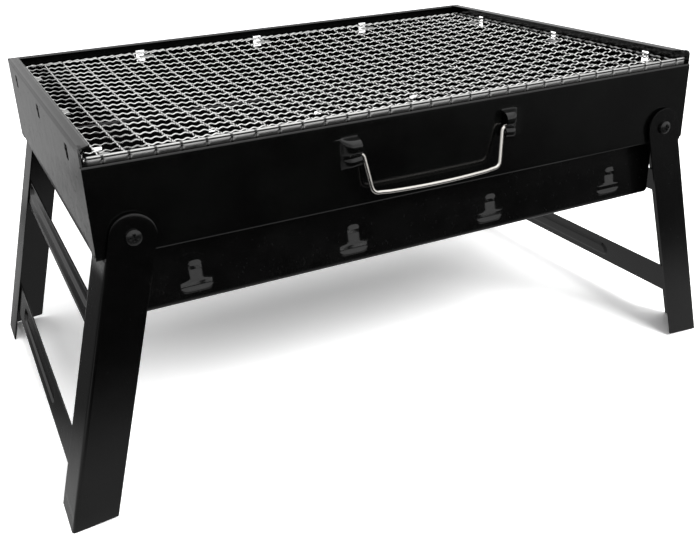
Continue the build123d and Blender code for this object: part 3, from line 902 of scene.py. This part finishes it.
# ---- charcoal grate: the CAD bars, with their edges eased ------------------
bm = bmesh.new()
bm.from_mesh(frame["nodes"]["charcoal_grate"].data)
bmesh.ops.remove_doubles(bm, verts=bm.verts, dist=1e-6)
bmesh.ops.dissolve_limit(bm, angle_limit=radians(1), verts=bm.verts, edges=bm.edges)
bars = bpy.data.meshes.new("charcoal_grate_bars")
bm.to_mesh(bars)
bm.free()
bars.materials.append(inner_paint)
grate = add_object("charcoal_grate_bars", bars)
round_edges(grate, 0.35, 30)
settle(grate, 40)
place(grate, "grate", "grate_steel", "charcoal_grate")

# ---- cooking mesh ----------------------------------------------------------
COLUMN_PITCH, ROW_PITCH = 11.8, 11.6
COLUMNS, ROWS = 29, 21
WIRE = 0.43                              # radius
CRIMP = 0.36
RIM_WIDE = 2.0
MESH_Y = (rim_low.y + rim_high.y) / 2
SLIDE = 5.0                              # the mesh runs on under the end flanges
RIM_X, RIM_Y = rim_high.x + SLIDE, (rim_high.y - rim_low.y) / 2
RIM_LOW = rim_low.z
NET_X, NET_Y = RIM_X - RIM_WIDE, RIM_Y - RIM_WIDE
NET_TOP = RIM_LOW + 1.35
WIRE_END = 1.4                           # a wire runs on into the border
DISH = 6.2


def net_height(x, y):
    """Middle height of the woven net: down from the border, then a shallow dish."""
    inset = min(NET_X + 2 - abs(x), NET_Y + 2 - abs(y))
    u, v = min(1.0, abs(x) / NET_X), min(1.0, abs(y) / NET_Y)
    return NET_TOP - 0.5 * (1 - exp(-max(0.0, inset) / 9)) - DISH * (1 - u * u) * (1 - v * v)


def crimped(fixed, half, own_parity, along_x):
    """One crimped wire: two and a half waves between crossings, over and under in turn."""
    pitch = COLUMN_PITCH if along_x else ROW_PITCH
    cells = int(2 * half / pitch * 2.5 * 7)
    line = []
    for k in range(cells + 1):
        s = -half + 2 * half * k / cells
        wave = cos(5 * pi * s / pitch)
        fade = smooth(0, 5, half - abs(s))
        x, y = (s, fixed) if along_x else (fixed, s)
        z = net_height(x, y) + own_parity * CRIMP * wave * fade
        line.append((x, MESH_Y + y, z))
    return line


# crossings of a wire fall at whole pitches from its middle, since both counts are odd, and
# cos(5 pi s / pitch) changes sign from one crossing to the next
bm = bmesh.new()
for j in range(ROWS):
    v = (j - (ROWS - 1) / 2) * ROW_PITCH
    tube(bm, crimped(v, NET_X + WIRE_END, 1 if j % 2 else -1, True), WIRE, 6)
long_wires = to_object("mesh_long_wires", bm, wire_bright, 60)
place(long_wires, "mesh", "mesh_wire", "cooking_mesh_wires")
bm = bmesh.new()
for i in range(COLUMNS):
    u = (i - (COLUMNS - 1) / 2) * COLUMN_PITCH
    # the other way round, so that one wire is over where the other is under
    parity = 1 if (i - (COLUMNS - 1) / 2 + (ROWS - 1) / 2) % 2 == 0 else -1
    tube(bm, crimped(u, NET_Y + WIRE_END, parity, False), WIRE, 6)
cross_wires = to_object("mesh_cross_wires", bm, wire_bright, 60)
place(cross_wires, "mesh", "mesh_wire", "cooking_mesh_wires")

# the border: a folded strip with a roll on top, nicked where each wire is folded in
ROUND = 3.0
RIM_CELL = 0.62
WAVE = 5.9                               # length of the thin roll's waves


def rim_nick(offset, count):
    """0 away from the wires' ends, 1 at the middle of one."""
    pitch = COLUMN_PITCH if count == COLUMNS else ROW_PITCH
    nearest = (offset / pitch) - round(offset / pitch)
    if abs(offset) > (count - 1) / 2 * pitch + 2:
        return 0.0
    return 1 - smooth(0.25, 0.95, abs(nearest) * pitch)


CORNER_PLACE = 999                       # stands for the place along a side, at a corner
path = []                                # (x, y, nx, ny, place along its side, wires there)
for side in range(4):
    a = radians(side * 90 - 90)
    nx, ny = round(cos(a)), round(sin(a))
    half = (RIM_X if ny else RIM_Y) - ROUND
    count = COLUMNS if ny else ROWS
    tx, ty = -ny, nx
    far = RIM_Y if ny else RIM_X
    for s in spread(-half, int(2 * half / RIM_CELL), half):
        path.append((nx * far + tx * s, ny * far + ty * s, nx, ny, s, count))
    for k in range(1, 6):
        b = a + radians(15 * k)
        cx, cy = nx * (far - ROUND) + tx * half, ny * (far - ROUND) + ty * half
        path.append((cx + ROUND * cos(b), cy + ROUND * sin(b), cos(b), sin(b), CORNER_PLACE, 0))

# the strip's steel with painted shade: painted shadow in the gaps between the folded fingers of
# its front face, and painted shade in the fold under its roll and over the front face below it
rim_steel_painted_shade = border_bright.copy()
rim_steel_painted_shade.name = "rim_steel_painted_shade"
n = Nodes(rim_steel_painted_shade.node_tree, clear=False)
shader = next(node for node in n.tree.nodes if node.type == "BSDF_PRINCIPLED")
tone = shader.inputs["Base Color"].links[0].from_socket
xyz = n.add("ShaderNodeSeparateXYZ")
n.join(n.add("ShaderNodeTexCoord").outputs["Object"], xyz.inputs[0])


def up_the_strip(low, high, a, b):
    return n.ramp(xyz.outputs[2], (RIM_LOW + low) * MM, (RIM_LOW + high) * MM, a, b)


# painted shadow in the gaps at each wire's end, one column pitch apart along x
turns = n.math("DIVIDE", xyz.outputs[0], COLUMN_PITCH * MM)
apart = n.math("ABSOLUTE", n.math("SUBTRACT", turns, n.math("ROUND", turns)))
gap_shade = n.ramp(apart, 0.035, 0.075, 0.92, 0.0)
front_y = MESH_Y - RIM_Y
at_front = n.ramp(xyz.outputs[1], (front_y + 0.8) * MM, (front_y + 1.0) * MM, 1.0, 0.0)
# painted shade in the crease under the roll
fold_shade = n.math("MULTIPLY", up_the_strip(2.45, 2.6, 0.0, 0.9), up_the_strip(2.95, 3.1, 1.0, 0.0))
painted_shade = n.math("MAXIMUM", n.math("MULTIPLY", gap_shade, at_front), n.math("MULTIPLY", fold_shade, at_front))
# painted shade over the front face below the roll
face_shade = up_the_strip(2.9, 3.1, 0.45, 0.0)
painted_shade = n.math("MAXIMUM", painted_shade, n.math("MULTIPLY", face_shade, at_front))
# the painted shade: the steel mixed towards near black
n.join(n.mix(painted_shade, tone, (0.012, 0.012, 0.012)), shader.inputs["Base Color"])

# (in from the outer face, up from the low edge, part of a nick's depth felt there)
rim_profile = [(0.9, 0.0, 0), (0.3, 0.05, 0), (0.12, 0.25, 0.1), (0.02, 0.8, 0.8), (0.0, 1.4, 1),
               (0.04, 2.0, 1), (0.16, 2.5, 0.5), (0.42, 2.72, 0.1), (0.75, 2.82, 0.1),
               (0.62, 2.94, 0.2), (0.30, 3.05, 0.6), (0.18, 3.3, 0.8), (0.26, 3.6, 0.8),
               (0.55, 3.84, 0.8), (0.95, 3.9, 0.8), (1.4, 3.84, 0.7), (1.75, 3.6, 0.5),
               (1.9, 3.2, 0.2), (1.92, 2.2, 0), (1.95, 1.0, 0), (2.3, 0.6, 0), (2.45, 0.1, 0),
               (1.6, 0.0, 0)]
rows = []
for x, y, nx, ny, s, count in path:
    row = []
    front = smooth(-0.2, -0.8, ny)        # tall at the front, a thin roll on the other sides
    wave = 0.3 * sin(2 * pi * s / WAVE)
    for inward, up, felt in rim_profile:
        slant = 0.35 * (up - 1.5) if up < 2.7 else 0.0
        nick = felt * (rim_nick(s - slant, count) if count else 0.0)
        deep = inward + nick * (0.7 if up < 2.7 else 0.3)
        lower = nick * (0.3 if up > 2.9 else 0.0)
        if front < 1:
            thin = 0.5 + 0.85 * max(0.0, up - 2.72) + wave
            up += (1 - front) * (thin - up)
            deep += (1 - front) * (0.6 * min(inward, 1.9) + 0.4 + wave - deep)
        row.append((x - nx * deep, MESH_Y + y - ny * deep, RIM_LOW + up - lower))
    rows.append(row)
rows.append(rows[0])
bm = bmesh.new()
add_grid(bm, rows, closed=True)
bmesh.ops.remove_doubles(bm, verts=bm.verts, dist=MERGE)      # joins the strip's two ends
rim = closed_object("mesh_border_strip", bm, rim_steel_painted_shade, 70)
place(rim, "mesh", "mesh_border", "cooking_mesh_border")

# discs behind the front border and plates along the other sides, all under the wires
DISC_PITCH, DISC_INSET = 53.8, 13.5
PLATE_LONG, PLATE_WIDE = 4.6, 1.9        # half sizes of a plate's flat part
bm = bmesh.new()
for k in range(-3, 4):
    x, y = k * DISC_PITCH, -NET_Y + DISC_INSET
    z = net_height(x, y) - WIRE - 0.9
    add_grid(bm, [[(x + u, MESH_Y + y + v, z + up) for u, v in ring(r, 28)]
                  for r, up in ((0.01, 0.62), (1.2, 0.6), (2.1, 0.5), (2.6, 0.3), (2.75, 0.0),
                                (2.6, -0.3), (1.4, -0.4), (0.01, -0.4))], closed=True)
discs = closed_object("mesh_discs", bm, border_bright, 60)
place(discs, "mesh", "mesh_border")
bm = bmesh.new()
plate_places = [(x, NET_Y - 8.0, False) for x in (-86.0, 0.0, 86.0)]
plate_places += [(x, y, True) for x in (-163.0, 163.0) for y in (-15.0, 80.0)]
for x, y, turned in plate_places:
    rows = []
    for w in spread(-5, 2, -PLATE_LONG, 6, PLATE_LONG, 2, 5):
        row = []
        for d in (-2.2, -PLATE_WIDE, -0.8, 0.8, PLATE_WIDE, 2.2):
            px, py = (x + d, y + w) if turned else (x + w, y + d)
            past = max(abs(w) - PLATE_LONG, 0) + max(abs(d) - PLATE_WIDE, 0)
            row.append((px, MESH_Y + py, net_height(px, py) - 1.0 - 0.25 * past))
        rows.append(row)
    add_grid(bm, rows)
plates = to_object("mesh_plates", bm, border_bright, 60)
thicken(plates, 0.6, 0.1, inside=Vector((0, Y0, 100)))
place(plates, "mesh", "mesh_border")

# ---- carry handle ----------------------------------------------------------
HANDLE_R = 1.1
END_HALF, PIVOT_HALF, LOW_HALF = 49.0, 41.4, 37.9
BOW_Y, BOW_Z = 1.6, 0.9                  # how far the middle bows out and down


def handle_point(x, out, down):
    return Vector((x, Y0 + HANDLE_Y - out, HANDLE_Z - down))


def bent(at, before, after, reach):
    """A rounded corner of the wire: a curve from one leg to the other, `reach` from the corner."""
    into, out = (before - at).normalized(), (after - at).normalized()
    return [(at + into * reach) * (1 - t) ** 2 + at * 2 * t * (1 - t) + (at + out * reach) * t * t
            for t in spread(0, 8, 1)]


end, pivot = handle_point(-END_HALF, 0, 0), handle_point(-PIVOT_HALF, 0, 0)
low = handle_point(-LOW_HALF, 3.3, 20.5)
line = [end] + bent(pivot, end, low, 2.6)
line += bent(low, pivot, low + Vector((2 * LOW_HALF, 0, -0.35)), 3.6)
right_half = [Vector((-p.x, p.y, p.z)) for p in reversed(line)]
for t in spread(0.12, 10, 0.88):
    bow = 1 - (2 * t - 1) ** 2
    line.append(Vector((low.x + 2 * LOW_HALF * t, low.y - BOW_Y * bow, low.z - BOW_Z * bow)))
line += right_half
bm = bmesh.new()
tube(bm, line, HANDLE_R, 16)
handle = to_object("carry_handle_wire", bm, handle_steel, 60)
place(handle, "handle", "handle_wire", "carry_handle")

# ---- floor -----------------------------------------------------------------
bm = bmesh.new()
bmesh.ops.create_grid(bm, x_segments=40, y_segments=40, size=4.0)
floor_mesh = bpy.data.meshes.new("floor")
bm.to_mesh(floor_mesh)
bm.free()
floor = add_object("floor", floor_mesh)
floor.location = (0, 0, -0.0002)
material = bpy.data.materials.new("floor")
material.use_nodes = True
n = Nodes(material.node_tree)
out = n.add("ShaderNodeOutputMaterial")
where = n.add("ShaderNodeTexCoord").outputs["Object"]
grain = n.noise(where, 3, 3)
diffuse = n.add("ShaderNodeBsdfDiffuse")
n.join(n.ramp(grain, 0.3, 0.7, 0.78, 0.80), diffuse.inputs["Color"])
# seen directly, the sweep is exposed to white except in the grill's own soft shade
bright = n.add("ShaderNodeBsdfDiffuse")
n.join(n.ramp(grain, 0.3, 0.7, 1.46, 1.48), bright.inputs["Color"])
xyz = n.add("ShaderNodeSeparateXYZ")
n.join(where, xyz.inputs[0])
x, y = xyz.outputs[0], xyz.outputs[1]


def eased_ramp(value, low, high, a, b):
    socket = n.ramp(value, low, high, a, b)
    socket.node.interpolation_type = "SMOOTHSTEP"
    return socket


# what gloss on the grill sees of the sweep: lit under and behind it, fading to dark in front,
# with an unlit strip at the left
ahead = n.math("MAXIMUM", n.math("SUBTRACT", -0.16, y), 0.0)
ahead = n.math("DIVIDE", ahead, 0.075)
fade = n.math("EXPONENT", n.math("MULTIPLY", n.math("MULTIPLY", ahead, ahead), -1.0))
glow = n.math("MULTIPLY", fade, 0.38)
edge = n.math("ADD", n.ramp(y, 0.1, 0.3, 0.0, 0.055), 0.205)
past = eased_ramp(n.math("ADD", x, edge), -0.015, 0.015, 0.0, 1.0)
level = n.math("MAXIMUM", eased_ramp(y, -0.10, 0.02, 0.95, 0.14),
               eased_ramp(y, 0.42, 0.55, 0.0, 1.0))
left = n.math("ADD", n.math("MULTIPLY", n.math("SUBTRACT", 1.0, level), past), level)
glow = n.math("MULTIPLY", glow, left)
glow = n.math("MAXIMUM", glow, eased_ramp(x, 0.2, 0.6, 0.018, 0.12))
emit = n.add("ShaderNodeEmission")
n.join(glow, emit.inputs["Strength"])
path_kind = n.add("ShaderNodeLightPath")
seen = n.add("ShaderNodeMixShader")
n.join(path_kind.outputs["Is Camera Ray"], seen.inputs[0])
n.join(diffuse.outputs[0], seen.inputs[1])
n.join(bright.outputs[0], seen.inputs[2])
choose = n.add("ShaderNodeMixShader")
n.join(path_kind.outputs["Is Glossy Ray"], choose.inputs[0])
n.join(seen.outputs[0], choose.inputs[1])
n.join(emit.outputs[0], choose.inputs[2])
n.join(choose.outputs[0], out.inputs[0])
material.cycles.emission_sampling = "NONE"
floor_mesh.materials.append(material)

# ---- studio light ----------------------------------------------------------
world = bpy.data.worlds.new("studio")
world.use_nodes = True
scene.world = world
n = Nodes(world.node_tree)
out = n.add("ShaderNodeOutputWorld")
shine = n.add("ShaderNodeBackground")
n.join(shine.outputs[0], out.inputs[0])
xyz = n.add("ShaderNodeSeparateXYZ")
n.join(n.add("ShaderNodeTexCoord").outputs["Generated"], xyz.inputs[0])
# a white tent, brighter towards the front and overhead
facing = n.math("ADD", n.math("MULTIPLY", xyz.outputs[0], -0.42),
                n.math("MULTIPLY", xyz.outputs[1], 0.91))
tent = n.ramp(facing, -0.95, -0.35, 1.35, 0.70)
overhead = n.ramp(xyz.outputs[2], 0.55, 0.9, 0.0, 1.1)
n.join(n.math("ADD", tent, overhead), shine.inputs["Strength"])

LAMP = Vector((0.25, -1.45, 1.35))
lamp_data = bpy.data.lights.new("softbox", "AREA")
lamp_data.shape = "RECTANGLE"
lamp_data.size, lamp_data.size_y = 0.9, 0.7
lamp_data.energy = 40.0
lamp = add_object("softbox", lamp_data)
lamp.location = LAMP
lamp.rotation_euler = LAMP.to_track_quat("Z", "Y").to_euler()
lamp.visible_glossy = False
